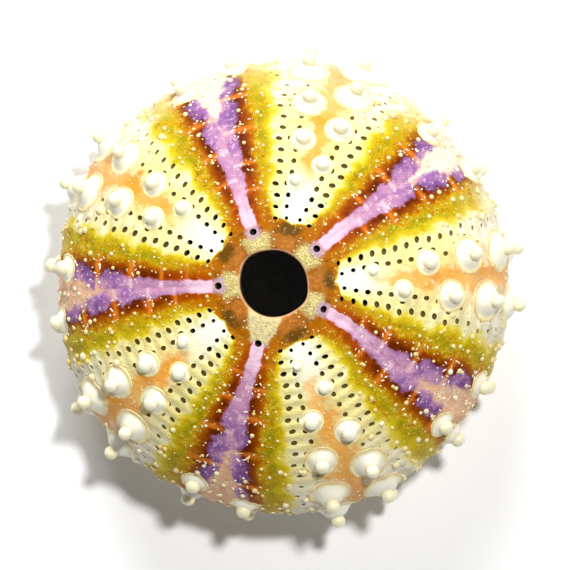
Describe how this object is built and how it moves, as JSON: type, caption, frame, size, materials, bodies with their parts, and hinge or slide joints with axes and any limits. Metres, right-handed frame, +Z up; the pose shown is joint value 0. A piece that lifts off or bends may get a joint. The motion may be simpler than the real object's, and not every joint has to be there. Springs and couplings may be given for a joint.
{
  "type": "sea urchin shell",
  "caption": "Empty hollow shell of a sea urchin, domed above and flattened below, with rows of spine knobs, pores and a round opening at each pole; a display or decoration piece.",
  "frame": {"origin": "centre of the shell on the plane that its lowest knobs stand on", "axes": "+Z up through the top opening, along the axis of the five sectors; +X along one white band, within 3 degrees"},
  "size_m": [0.0428, 0.043, 0.0194],
  "materials": {
    "shell": "satin"
  },
  "bodies": {
    "root": {"urchin_shell": "shell"}
  },
  "joints": []
}
